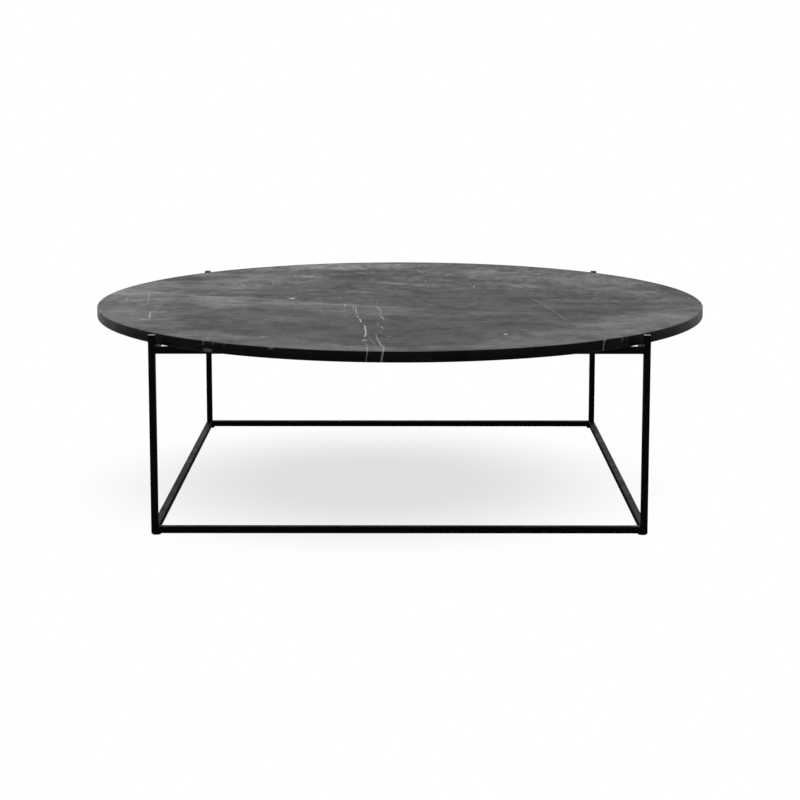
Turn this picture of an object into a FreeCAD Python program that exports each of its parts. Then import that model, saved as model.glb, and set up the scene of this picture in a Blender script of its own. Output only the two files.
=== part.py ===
import FreeCAD, Part
import math
import os

from FreeCAD import Vector

# Round cocktail table: a stone disc laid loose in a cage of welded square bar.
# Millimetres. The origin is on the floor under the centre, +Z is up, and -Y is the front.

# Stone disc
STONE_DIAMETER = 1000.0
STONE_THICKNESS = 16.0
STONE_UPPER_EASE = 1.2
STONE_LOWER_EASE = 0.8
TABLE_HEIGHT = 300.0

# Square bar cage
BAR_SIDE = 10.0
BAR_EDGE = 0.6
POST_CLEARANCE = 7.0
POST_PROUD = 0.5
TIP_EASE_SHARE = 0.65

# Clear bumpers under the stone
BUMPER_DIAMETER = 8.0
BUMPER_THICKNESS = 1.2
BUMPER_EDGE = 0.3
BUMPER_RIM_INSET = 35.0

# Stick-on foot pads
FOOT_DIAMETER = 14.0
FOOT_THICKNESS = 2.5
FOOT_EDGE = 0.7

# Levels, from the floor up
bottom_rail_axis = FOOT_THICKNESS + BAR_SIDE / 2
stone_under = TABLE_HEIGHT - STONE_THICKNESS
top_rail_upper = stone_under - BUMPER_THICKNESS
top_rail_axis = top_rail_upper - BAR_SIDE / 2
post_tip = TABLE_HEIGHT + POST_PROUD

# Plan: the inner corner of each post stands clear of the stone's rim
stone_radius = STONE_DIAMETER / 2
rail_half = (stone_radius + POST_CLEARANCE) / math.sqrt(2)
bar_axis = rail_half + BAR_SIDE / 2
foot_axis = bar_axis - (FOOT_DIAMETER - BAR_SIDE) / 2

# Where a top rail passes out from under the rim, and the bumper inside that point
rail_under_rim = math.sqrt(stone_radius ** 2 - bar_axis ** 2)
bumper_along = rail_under_rim - BUMPER_RIM_INSET

X_AXIS = Vector(1, 0, 0)
Y_AXIS = Vector(0, 1, 0)
Z_AXIS = Vector(0, 0, 1)
SIDES = {"front": -1, "rear": 1}
ENDS = {"left": -1, "right": 1}


def line(start, end):
    """Straight edge between two points."""
    return Part.LineSegment(start, end).toShape()


def quarter_round(start, end, centre):
    """Quarter-circle edge from start to end about a centre."""
    radius = start.distanceToPoint(centre)
    outward = (start + end - centre * 2).normalize()
    return Part.Arc(start, centre + outward * radius, end).toShape()


def bar(start, along, length):
    """Length of the square bar with rounded edges, its axis running from start along a direction."""
    half = BAR_SIDE / 2
    flat = half - BAR_EDGE
    edges = []
    for turn in range(4):
        angle = turn * math.pi / 2
        across = Vector(math.cos(angle), math.sin(angle), 0)
        beside = Vector(-math.sin(angle), math.cos(angle), 0)
        first = across * half - beside * flat
        second = across * half + beside * flat
        third = across * flat + beside * half
        edges.append(line(first, second))
        edges.append(quarter_round(second, third, (across + beside) * flat))
    section = Part.Face(Part.Wire(edges))
    section.Placement = FreeCAD.Placement(start, FreeCAD.Rotation(Z_AXIS, along))
    return section.extrude(along * length)


def turned_disc(base, radius, height, lower_round, upper_round):
    """Disc standing on a base point, turned from a half section with rounded lower and upper rims."""
    low_axis = Vector(0, 0, 0)
    low_rim = Vector(radius - lower_round, 0, 0)
    low_wall = Vector(radius, 0, lower_round)
    high_wall = Vector(radius, 0, height - upper_round)
    high_rim = Vector(radius - upper_round, 0, height)
    high_axis = Vector(0, 0, height)
    edges = [
        line(low_axis, low_rim),
        quarter_round(low_rim, low_wall, Vector(low_rim.x, 0, low_wall.z)),
        line(low_wall, high_wall),
        quarter_round(high_wall, high_rim, Vector(high_rim.x, 0, high_wall.z)),
        line(high_rim, high_axis),
        line(high_axis, low_axis),
    ]
    solid = Part.Face(Part.Wire(edges)).revolve(low_axis, Z_AXIS, 360)
    solid.translate(base)
    return solid


def stone_top():
    """Stone disc with eased upper and lower arrises."""
    base = Vector(0, 0, stone_under)
    return turned_disc(base, stone_radius, STONE_THICKNESS, STONE_LOWER_EASE, STONE_UPPER_EASE)


def leg(x, y):
    """Full-height leg whose eased tip stands beside the stone as a post."""
    solid = bar(Vector(x, y, FOOT_THICKNESS), Z_AXIS, post_tip - FOOT_THICKNESS)
    tip = max(solid.Faces, key=lambda face: face.CenterOfMass.z)
    return solid.makeFillet(BAR_EDGE * TIP_EASE_SHARE, tip.Edges)


def rail(along, offset, level):
    """Rail between two legs, butted square on their inner faces."""
    start = offset - along * rail_half + Z_AXIS * level
    return bar(start, along, rail_half * 2)


def bumper(x, y):
    """Clear bumper stuck on a top rail, under the stone."""
    base = Vector(x, y, top_rail_upper)
    return turned_disc(base, BUMPER_DIAMETER / 2, BUMPER_THICKNESS, BUMPER_EDGE, BUMPER_EDGE)


def foot_pad(x, y):
    """Pad stuck under a corner, its rim in line with the bars' outer faces."""
    base = Vector(x, y, 0)
    return turned_disc(base, FOOT_DIAMETER / 2, FOOT_THICKNESS, FOOT_EDGE, FOOT_EDGE)


pieces = {"stone_top": stone_top()}

# Legs and the pads under them, one at each corner
for side, y_sign in SIDES.items():
    for end, x_sign in ENDS.items():
        pieces[f"leg_{side}_{end}"] = leg(x_sign * bar_axis, y_sign * bar_axis)
        pieces[f"foot_{side}_{end}"] = foot_pad(x_sign * foot_axis, y_sign * foot_axis)

# Front and rear rails in the two rings, with two bumpers on each top rail
for side, y_sign in SIDES.items():
    offset = Y_AXIS * (y_sign * bar_axis)
    pieces[f"top_rail_{side}"] = rail(X_AXIS, offset, top_rail_axis)
    pieces[f"bottom_rail_{side}"] = rail(X_AXIS, offset, bottom_rail_axis)
    for end, x_sign in ENDS.items():
        pieces[f"bumper_{side}_rail_{end}"] = bumper(x_sign * bumper_along, y_sign * bar_axis)

# Left and right rails and their bumpers
for end, x_sign in ENDS.items():
    offset = X_AXIS * (x_sign * bar_axis)
    pieces[f"top_rail_{end}"] = rail(Y_AXIS, offset, top_rail_axis)
    pieces[f"bottom_rail_{end}"] = rail(Y_AXIS, offset, bottom_rail_axis)
    for side, y_sign in SIDES.items():
        pieces[f"bumper_{end}_rail_{side}"] = bumper(x_sign * bar_axis, y_sign * bumper_along)

os.makedirs("parts", exist_ok=True)
for name, shape in pieces.items():
    shape.exportStep(f"parts/{name}.step")
    print(name, len(shape.Solids), shape.isValid(), round(shape.Volume, 3))
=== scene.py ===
import logging
import math
from collections.abc import Iterable, Iterator
from dataclasses import dataclass, field
from enum import Enum
from functools import reduce

import bpy
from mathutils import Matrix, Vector


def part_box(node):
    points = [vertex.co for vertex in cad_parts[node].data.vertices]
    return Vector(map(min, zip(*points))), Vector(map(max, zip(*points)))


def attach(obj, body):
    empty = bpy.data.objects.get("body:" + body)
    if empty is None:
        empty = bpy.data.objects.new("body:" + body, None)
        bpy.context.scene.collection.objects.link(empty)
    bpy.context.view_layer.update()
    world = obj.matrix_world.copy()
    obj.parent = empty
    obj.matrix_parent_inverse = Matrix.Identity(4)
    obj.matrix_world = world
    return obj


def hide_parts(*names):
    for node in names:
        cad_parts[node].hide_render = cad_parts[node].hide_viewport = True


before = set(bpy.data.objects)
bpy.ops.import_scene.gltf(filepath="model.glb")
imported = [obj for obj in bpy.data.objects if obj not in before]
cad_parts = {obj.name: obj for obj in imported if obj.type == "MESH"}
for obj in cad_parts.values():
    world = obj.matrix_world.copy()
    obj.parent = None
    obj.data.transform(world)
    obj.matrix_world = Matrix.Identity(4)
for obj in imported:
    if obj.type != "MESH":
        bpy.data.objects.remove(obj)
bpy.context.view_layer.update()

# Round cocktail table: a honed black stone disc laid in a cage of coated square bar.
# Metres. The origin is on the floor under the centre, +Z is up, and -Y is the front.

STONE_NODE = "stone_top"
STONE_LOW, STONE_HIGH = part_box(STONE_NODE)
LEG_LOW, LEG_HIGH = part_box("leg_front_left")
LOG = logging.getLogger("cocktail_table")

Socket = bpy.types.NodeSocket
Feed = Socket | float | int | tuple
Feeds = dict[str | int, Feed]
Span = tuple[float, float]
Point = tuple[float, float]
Triple = tuple[float, float, float]

UP: Triple = (0.0, 0.0, 1.0)
IN_PLAN: Triple = (1.0, 1.0, 0.0)


class Body(str, Enum):
    """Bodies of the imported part."""

    CAGE = "cage"
    STONE = "stone"


class Slot(str, Enum):
    """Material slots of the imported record."""

    STONE = "stone"
    COAT = "powder_coat"
    BUMPER = "clear_bumper"
    PAD = "foot_pad"


class Ring(str, Enum):
    """The two rings of rails."""

    TOP = "top"
    BOTTOM = "bottom"


class Side(Enum):
    """The four sides of the cage, each with its direction out from the centre."""

    FRONT = (0, -1)
    REAR = (0, 1)
    LEFT = (-1, 0)
    RIGHT = (1, 0)

    @property
    def word(self) -> str:
        """Name of the side as the nodes spell it."""
        return self.name.lower()

    @property
    def along(self) -> Vector:
        """Unit vector along the side, towards +X or +Y."""
        return Vector((abs(self.value[1]), abs(self.value[0]), 0.0))


SIDE_PAIRS = [(a, b) for a in (Side.FRONT, Side.REAR) for b in (Side.LEFT, Side.RIGHT)]


# Node helpers

@dataclass(frozen=True)
class Cloud:
    """Make-up of a cloud noise.

    Scale counts clouds per metre and detail the octaves of finer cloud. Roughness is the weight of
    those, and swirl is how far the clouds are drawn into each other.
    """

    scale: Feed
    detail: float
    roughness: float = 0.5
    swirl: float = 0.0


class Board:
    """Places and wires the nodes of one tree."""

    def __init__(self, tree: bpy.types.NodeTree) -> None:
        """Takes the shader or geometry tree to work on."""
        self.tree = tree

    def fill(self, node: bpy.types.Node, feeds: Feeds) -> None:
        """Fills inputs of a node.

        Args:
            node: Node to fill.
            feeds: Input name or index to the socket to link there, or the plain value to set.
        """
        for key, value in feeds.items():
            if isinstance(value, Socket):
                self.tree.links.new(value, node.inputs[key])
            else:
                node.inputs[key].default_value = value

    def add(self, kind: str, feeds: Feeds | None = None, **settings: object) -> bpy.types.Node:
        """Adds a node.

        Args:
            kind: Node type.
            feeds: Inputs to fill, as for fill.
            settings: Node properties to set before the inputs are filled.

        Returns:
            The new node.
        """
        node = self.tree.nodes.new(kind)
        for name, value in settings.items():
            setattr(node, name, value)
        self.fill(node, feeds or {})
        return node

    def first(self, kind: str, feeds: Feeds | None = None, **settings: object) -> Socket:
        """Adds a node, as add does, and gives its first output."""
        return self.add(kind, feeds, **settings).outputs[0]

    def group(self, tree: bpy.types.NodeTree, feeds: Feeds) -> bpy.types.NodeOutputs:
        """Places a shader group and gives its outputs."""
        return self.add("ShaderNodeGroup", feeds, node_tree=tree).outputs

    def math(self, operation: str, *values: Feed, clamp: bool = False) -> Socket:
        """Scalar maths, held between 0 and 1 if clamp is set."""
        return self.first("ShaderNodeMath", dict(enumerate(values)), operation=operation, use_clamp=clamp)

    def times(self, *factors: Feed) -> Socket:
        """Product of several values."""
        return reduce(lambda one, other: self.math("MULTIPLY", one, other), factors)

    def highest(self, values: Iterable[Socket]) -> Socket:
        """Highest of several values, each compared as soon as it is made."""
        return reduce(lambda one, other: self.math("MAXIMUM", one, other), values)

    def vector(self, operation: str, *values: Feed) -> Socket:
        """Vector maths that gives a vector."""
        return self.first("ShaderNodeVectorMath", dict(enumerate(values)), operation=operation)

    def measure(self, operation: str, *values: Feed) -> Socket:
        """Vector maths that gives a value, such as a length."""
        return self.add("ShaderNodeVectorMath", dict(enumerate(values)), operation=operation).outputs["Value"]

    def scaled(self, vector: Feed, factor: Feed) -> Socket:
        """Vector times a value."""
        return self.first("ShaderNodeVectorMath", {0: vector, "Scale": factor}, operation="SCALE")

    def part(self, vector: Feed, axis: str) -> Socket:
        """X, Y or Z of a vector."""
        return self.add("ShaderNodeSeparateXYZ", {0: vector}).outputs[axis]

    def combine(self, x: Feed = 0.0, y: Feed = 0.0, z: Feed = 0.0) -> Socket:
        """Vector from three values."""
        return self.first("ShaderNodeCombineXYZ", {"X": x, "Y": y, "Z": z})

    def span(self, value: Feed, low: Feed, high: Feed, to_low: Feed = 0.0, to_high: Feed = 1.0) -> Socket:
        """Eased step from to_low to to_high while a value goes from low to high."""
        feeds = {"Value": value, "From Min": low, "From Max": high, "To Min": to_low, "To Max": to_high}
        return self.first("ShaderNodeMapRange", feeds, interpolation_type="SMOOTHSTEP", clamp=False)

    def cloud(self, position: Feed, cloud: Cloud, output: str = "Fac") -> Socket:
        """Cloud noise over a position.

        Args:
            position: Where to read it.
            cloud: Its make-up.
            output: Fac for one value, Color for three.

        Returns:
            Noise from 0 to 1.
        """
        feeds = {"Vector": position, "Scale": cloud.scale, "Detail": cloud.detail,
                 "Roughness": cloud.roughness, "Distortion": cloud.swirl}
        return self.add("ShaderNodeTexNoise", feeds).outputs[output]

    def shaken(self, position: Feed, cloud: Cloud) -> Socket:
        """Random step about zero, up to a half in each direction."""
        return self.vector("SUBTRACT", self.cloud(position, cloud, "Color"), (0.5, 0.5, 0.5))


class Tree(Board):
    """A node group under construction, with named sockets."""

    def __init__(self, name: str, kind: str = "ShaderNodeTree") -> None:
        """Starts an empty group.

        Args:
            name: Name of the group.
            kind: ShaderNodeTree or GeometryNodeTree.
        """
        super().__init__(bpy.data.node_groups.new(name, kind))
        self.entry = self.tree.nodes.new("NodeGroupInput")
        self.exit = self.tree.nodes.new("NodeGroupOutput")

    def take(self, name: str, kind: str = "Float") -> Socket:
        """Adds a named input of the given kind and gives the socket to read inside the group."""
        self.tree.interface.new_socket(name, in_out="INPUT", socket_type=f"NodeSocket{kind}")
        return self.entry.outputs[name]

    def numbers(self, *names: str) -> list[Socket]:
        """Adds a number input for each name and gives the sockets to read inside the group."""
        return [self.take(name) for name in names]

    def give(self, name: str, value: Socket, kind: str = "Float") -> None:
        """Adds a named output of the given kind and links a value to it."""
        self.tree.interface.new_socket(name, in_out="OUTPUT", socket_type=f"NodeSocket{kind}")
        self.fill(self.exit, {name: value})


# Shared surface effects

def coat_grain_group() -> bpy.types.NodeTree:
    """Fine pebbled grain of a coat or a moulded rubber, and a coarser mottle.

    Returns:
        Group with Height and Mottle outputs.
    """
    mottle_share = 0.04
    height_span = (0.3, 0.7)
    mottle_span = (0.35, 0.65)
    tree = Tree("pebbled_grain")
    position = tree.take("Position", "Vector")
    grains = tree.take("Grains per Metre")
    fine = tree.cloud(position, Cloud(grains, 2.0, 0.45))
    coarse = tree.cloud(position, Cloud(tree.times(grains, mottle_share), 3.0, 0.6))
    tree.give("Height", tree.span(fine, *height_span))
    tree.give("Mottle", tree.span(coarse, *mottle_span))
    return tree.tree


def vein_course_group() -> bpy.types.NodeTree:
    """Place of a point along and across the straight line between a vein's two ends, in plan.

    Returns:
        Group with Along, from 0 to 1, and Across, in metres.
    """
    tree = Tree("vein_course")
    position = tree.take("Position", "Vector")
    start = tree.take("Start", "Vector")
    end = tree.take("End", "Vector")
    run = tree.vector("SUBTRACT", end, start)
    length = tree.measure("LENGTH", run)
    ahead = tree.vector("NORMALIZE", run)
    aside = tree.vector("CROSS_PRODUCT", UP, ahead)
    offset = tree.vector("SUBTRACT", position, start)
    travelled = tree.measure("DOT_PRODUCT", offset, ahead)
    tree.give("Along", tree.math("DIVIDE", travelled, length))
    tree.give("Across", tree.measure("DOT_PRODUCT", offset, aside))
    return tree.tree


def vein_mark_group() -> bpy.types.NodeTree:
    """Mask of one vein from a point's place along and across it.

    Returns:
        Group with a Mask output from 0 to the vein's strength.
    """
    wear_span = (0.25, 0.75)
    wear_swells = (0.6, 1.4)
    end_swells = (0.4, 1.0)
    gap_share = 0.7
    gap_softness = 0.10
    tree = Tree("vein_mark")
    along, across, course, sway = tree.numbers("Along", "Across", "Course", "Sway")
    width, core, strength, broken = tree.numbers("Width", "Core", "Strength", "Broken")
    wear, fade = tree.numbers("Wear", "Fade")
    centred = tree.times(tree.math("SUBTRACT", course, 0.5), 2.0)
    aside = tree.math("SUBTRACT", across, tree.times(centred, sway))
    opening = tree.span(along, 0.0, fade)
    closing = tree.span(along, tree.math("SUBTRACT", 1.0, fade), 1.0, 1.0, 0.0)
    ends = tree.times(opening, closing)
    swell = tree.times(tree.span(wear, *wear_span, *wear_swells), tree.span(ends, 0.0, 1.0, *end_swells))
    half = tree.times(width, swell)
    line = tree.span(tree.math("ABSOLUTE", aside), tree.times(half, core), half, 1.0, 0.0)
    gaps = tree.span(wear, tree.times(broken, gap_share), tree.math("ADD", broken, gap_softness))
    tree.give("Mask", tree.times(line, ends, gaps, strength))
    return tree.tree


@dataclass(frozen=True)
class Effects:
    """Shader groups that the finishes share."""

    grain: bpy.types.NodeTree = field(default_factory=coat_grain_group)
    vein_course: bpy.types.NodeTree = field(default_factory=vein_course_group)
    vein_mark: bpy.types.NodeTree = field(default_factory=vein_mark_group)


# Finishes

def new_material(name: str) -> tuple[bpy.types.Material, Board, bpy.types.Node]:
    """Starts a material.

    Args:
        name: Name of the finish.

    Returns:
        The material, its board and its surface shader.
    """
    material = bpy.data.materials.new(name)
    material.use_nodes = True
    return material, Board(material.node_tree), material.node_tree.nodes["Principled BSDF"]


def object_position(board: Board) -> Socket:
    """Position in the table's own frame."""
    return board.add("ShaderNodeTexCoord").outputs["Object"]


@dataclass(frozen=True)
class GrainedFinish:
    """Plain dark finish with a fine pebbled grain, such as a coat or a moulded rubber.

    Shade and roughness wander between two values. Above a level, if one is given, the finish has a
    sleek coat.
    """

    name: str
    shades: Span
    roughnesses: Span
    ior: float
    grains: float
    grain_depth: float
    sleek_above: float | None = None
    sleek_rise: float = 0.0002
    sleek_weight: float = 0.55
    sleek_roughness: float = 0.2

    def material(self, effects: Effects) -> bpy.types.Material:
        """Builds the finish.

        Args:
            effects: Shared shader groups.

        Returns:
            The material.
        """
        material, board, shader = new_material(self.name)
        position = object_position(board)
        grain = board.group(effects.grain, {"Position": position, "Grains per Metre": self.grains})
        shade = board.span(grain["Mottle"], 0.0, 1.0, *self.shades)
        roughness = board.span(grain["Mottle"], 0.0, 1.0, *self.roughnesses)
        feeds = {"Height": grain["Height"], "Distance": self.grain_depth, "Strength": 1.0}
        bump = board.first("ShaderNodeBump", feeds)
        board.fill(shader, {"Base Color": shade, "Roughness": roughness, "IOR": self.ior, "Normal": bump})
        if self.sleek_above is not None:
            height = board.part(position, "Z")
            low = self.sleek_above - self.sleek_rise
            sleek = board.span(height, low, self.sleek_above, 0.0, self.sleek_weight)
            board.fill(shader, {"Coat Weight": sleek, "Coat Roughness": self.sleek_roughness})
        return material


@dataclass(frozen=True)
class ClearFinish:
    """Clear soft plastic of the bumpers."""

    name: str = "clear_soft_vinyl"
    shade: tuple[float, ...] = (0.86, 0.88, 0.88, 1.0)
    roughnesses: Span = (0.22, 0.352)
    ior: float = 1.42
    grains: float = 900.0

    def material(self, effects: Effects) -> bpy.types.Material:
        """Builds the finish.

        Args:
            effects: Shared shader groups.

        Returns:
            The material.
        """
        material, board, shader = new_material(self.name)
        feeds = {"Position": object_position(board), "Grains per Metre": self.grains}
        mottle = board.group(effects.grain, feeds)["Mottle"]
        roughness = board.span(mottle, 0.0, 1.0, *self.roughnesses)
        board.fill(shader, {"Base Color": self.shade, "Roughness": roughness, "IOR": self.ior,
                            "Transmission Weight": 1.0})
        return material


@dataclass(frozen=True)
class Vein:
    """One vein or soft drift in the stone, drawn in plan.

    Width is its reach to each side. Broken is the share of the line that is worn away, and fade the
    share of it that runs out at each end. The course lists points of the way from start to end, each
    as a share of the way and a step aside to the left of it. A band limits the vein to a depth under
    the face and so far above and below it.
    """

    start: Point
    end: Point
    width: float
    strength: float
    broken: float = 0.3
    fade: float = 0.12
    course: tuple[Point, ...] = ()
    band: Span | None = None


HAIRLINE_COURSE = ((0.10, 0.004), (0.30, -0.006), (0.45, 0.001), (0.60, 0.006), (0.80, 0.003))
SWIRL_COURSE = ((0.19, 0.038), (0.42, 0.016), (0.66, 0.027))

VEINS = (
    # Long hairline across the left half, as a soft band with a fine core
    Vein((-0.495, 0.112), (-0.085, -0.072), 0.0100, 0.14, 0.10, 0.05, HAIRLINE_COURSE),
    Vein((-0.495, 0.112), (-0.085, -0.072), 0.0038, 0.34, 0.34, 0.05, HAIRLINE_COURSE),
    Vein((-0.500, 0.114), (-0.270, 0.012), 0.0140, 0.19, 0.10, 0.20, ((0.2, 0.004), (0.6, -0.005))),
    Vein((-0.120, -0.056), (0.070, -0.134), 0.0080, 0.10, 0.20, 0.30, ((0.5, 0.010),)),
    Vein((-0.091, -0.052), (-0.089, -0.090), 0.0018, 0.75, 0.0, 0.3),
    # Left of the two bright veins that run to the front rim
    Vein((-0.076, -0.058), (-0.075, -0.128), 0.0013, 0.50, 0.2, 0.2),
    Vein((-0.071, -0.062), (-0.065, -0.210), 0.0014, 0.62, 0.2, 0.12, ((0.5, -0.002),)),
    Vein((-0.064, -0.204), (-0.059, -0.250), 0.0017, 1.00, 0.0, 0.3),
    Vein((-0.057, -0.258), (-0.050, -0.390), 0.0017, 1.00, 0.2, 0.15, ((0.4, 0.002),)),
    Vein((-0.055, -0.407), (-0.044, -0.409), 0.0075, 0.65, 0.0, 0.35),
    Vein((-0.047, -0.415), (-0.045, -0.495), 0.0013, 0.55, 0.42, 0.12),
    Vein((-0.046, -0.480), (-0.041, -0.525), 0.0014, 0.45, 0.36, 0.15),
    # Right of the two, in overlapping pieces
    Vein((-0.037, 0.010), (-0.038, -0.090), 0.0013, 0.28, 0.3, 0.3),
    Vein((-0.039, -0.074), (-0.029, -0.148), 0.0015, 0.62, 0.1, 0.25),
    Vein((-0.033, -0.138), (-0.032, -0.186), 0.0014, 0.50, 0.1, 0.25),
    Vein((-0.033, -0.172), (-0.022, -0.232), 0.0015, 0.66, 0.1, 0.25),
    Vein((-0.034, -0.242), (-0.033, -0.278), 0.0013, 0.42, 0.0, 0.3),
    Vein((-0.031, -0.270), (-0.024, -0.310), 0.0015, 0.60, 0.0, 0.3),
    Vein((-0.036, -0.316), (-0.025, -0.346), 0.0013, 0.36, 0.0, 0.3),
    Vein((-0.035, -0.345), (-0.033, -0.375), 0.0013, 0.42, 0.0, 0.3),
    Vein((-0.033, -0.368), (-0.022, -0.470), 0.0015, 0.85, 0.2, 0.15, ((0.5, -0.001),)),
    Vein((-0.022, -0.458), (-0.021, -0.525), 0.0015, 0.85, 0.1, 0.08),
    # Fine lines beside them
    Vein((-0.047, -0.364), (-0.031, -0.460), 0.0011, 0.45, 0.3, 0.25),
    Vein((-0.017, -0.374), (-0.011, -0.366), 0.0045, 0.45, 0.0, 0.35),
    Vein((-0.146, 0.060), (-0.128, -0.090), 0.0028, 0.14, 0.40, 0.2, ((0.5, 0.005),)),
    Vein((-0.130, -0.060), (-0.112, -0.180), 0.0028, 0.16, 0.38, 0.2, ((0.5, -0.005),)),
    Vein((-0.110, -0.115), (-0.092, -0.150), 0.0040, 0.16, 0.10, 0.4),
    Vein((-0.103, 0.030), (-0.100, -0.005), 0.0024, 0.26, 0.10, 0.4),
    # Right diagonal
    Vein((0.213, 0.062), (0.265, -0.265), 0.0027, 0.18, 0.30, 0.22, ((0.5, 0.002),)),
    Vein((0.256, -0.230), (0.298, -0.388), 0.0022, 0.20, 0.34, 0.25, ((0.4, 0.003),)),
    # Faint lines in the rear half
    Vein((0.030, 0.400), (0.046, 0.318), 0.0034, 0.24, 0.20, 0.3),
    Vein((0.045, 0.250), (0.046, 0.200), 0.0030, 0.26, 0.10, 0.3),
    Vein((0.008, 0.402), (0.026, 0.375), 0.0070, 0.14, 0.20, 0.3),
    Vein((-0.012, 0.264), (-0.004, 0.262), 0.0100, 0.20, 0.0, 0.45),
    Vein((-0.058, 0.394), (-0.053, 0.300), 0.0028, 0.13, 0.30, 0.3, ((0.5, 0.004),)),
    Vein((-0.053, 0.280), (-0.050, 0.205), 0.0028, 0.17, 0.20, 0.3),
    Vein((0.122, 0.262), (0.129, 0.128), 0.0026, 0.13, 0.36, 0.25, ((0.4, -0.006),)),
    Vein((0.130, 0.176), (0.128, 0.127), 0.0022, 0.38, 0.10, 0.3),
    Vein((-0.056, 0.212), (0.086, 0.134), 0.0055, 0.34, 0.30, 0.2, ((0.4, 0.003),)),
    Vein((-0.082, 0.136), (-0.040, 0.119), 0.0055, 0.26, 0.20, 0.3),
    Vein((0.002, -0.216), (0.085, -0.250), 0.0080, 0.07, 0.30, 0.4, ((0.5, 0.005),)),
    Vein((0.410, 0.210), (0.405, 0.130), 0.0025, 0.22, 0.30, 0.2),
    # Fine arcs of the swirl in the rear left
    Vein((-0.321, 0.113), (-0.242, 0.330), 0.0060, 0.16, 0.32, 0.25, ((0.5, 0.003),)),
    Vein((-0.281, 0.233), (-0.269, 0.132), 0.0045, 0.20, 0.30, 0.30, ((0.5, -0.005),)),
    Vein((-0.271, 0.215), (-0.264, 0.150), 0.0038, 0.18, 0.20, 0.30),
    Vein((-0.259, 0.201), (-0.157, 0.176), 0.0090, 0.18, 0.22, 0.20, SWIRL_COURSE),
    Vein((-0.233, 0.238), (-0.220, 0.162), 0.0045, 0.21, 0.14, 0.35),
    Vein((-0.219, 0.206), (-0.211, 0.158), 0.0038, 0.18, 0.14, 0.35),
    Vein((-0.270, 0.306), (-0.236, 0.306), 0.0120, 0.18, 0.10, 0.35),
    Vein((-0.188, 0.286), (-0.152, 0.292), 0.0090, 0.50, 0.0, 0.3),
    Vein((-0.196, 0.300), (-0.190, 0.268), 0.0028, 0.40, 0.10, 0.4),
    # Crossed fleck
    Vein((-0.206, 0.056), (-0.161, -0.032), 0.0022, 0.50, 0.1, 0.45),
    Vein((-0.199, -0.026), (-0.164, 0.058), 0.0022, 0.40, 0.1, 0.45),
    Vein((-0.188, 0.011), (-0.174, 0.009), 0.0100, 1.00, 0.0, 0.45),
    # Short marks by the left rim
    Vein((-0.462, 0.030), (-0.451, -0.040), 0.0018, 0.42, 0.2, 0.25),
    Vein((-0.433, 0.085), (-0.414, -0.065), 0.0020, 0.38, 0.3, 0.2),
    Vein((-0.398, -0.126), (-0.389, -0.230), 0.0019, 0.70, 0.25, 0.2),
    Vein((-0.405, -0.214), (-0.389, -0.218), 0.0090, 0.70, 0.0, 0.4),
    # Flecks
    Vein((0.152, -0.354), (0.162, -0.356), 0.0090, 1.00, 0.0, 0.45),
    Vein((0.250, 0.330), (0.266, 0.326), 0.0120, 0.44, 0.0, 0.45),
    Vein((0.412, 0.070), (0.424, 0.066), 0.0100, 0.26, 0.0, 0.45),
    Vein((0.118, 0.045), (0.128, 0.052), 0.0080, 0.20, 0.0, 0.45),
    Vein((-0.268, -0.243), (-0.252, -0.247), 0.0150, 0.15, 0.0, 0.45),
    Vein((-0.264, -0.371), (-0.228, -0.376), 0.0070, 0.24, 0.40, 0.3),
    Vein((-0.208, -0.380), (-0.191, -0.384), 0.0080, 0.28, 0.0, 0.4),
    # Marks on the front left of the edge
    Vein((-0.272, -0.400), (-0.288, -0.424), 0.0020, 0.50, 0.2, 0.12, (), (0.0, 0.008)),
    Vein((-0.260, -0.412), (-0.272, -0.432), 0.0017, 0.34, 0.2, 0.12, (), (0.0, 0.007)),
    Vein((-0.246, -0.424), (-0.256, -0.444), 0.0014, 0.24, 0.2, 0.12, (), (0.0, 0.006)),
    Vein((-0.283, -0.412), (-0.264, -0.425), 0.0200, 0.34, 0.3, 0.45, (), (0.0128, 0.0034)),
    Vein((-0.187, -0.463), (-0.174, -0.468), 0.0120, 0.24, 0.0, 0.40, (), (0.001, 0.0034)),
    # Marks on the front right of the edge
    Vein((0.287, -0.386), (0.301, -0.415), 0.0012, 0.75, 0.1),
    Vein((0.299, -0.392), (0.296, -0.407), 0.0011, 0.50, 0.1, 0.12, (), (0.0, 0.003)),
    Vein((0.319, -0.373), (0.333, -0.393), 0.0022, 0.26, 0.2, 0.12, (), (0.0, 0.0095)),
    Vein((0.327, -0.364), (0.340, -0.384), 0.0010, 0.26, 0.2, 0.12, (), (0.0, 0.0110)),
)

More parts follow.
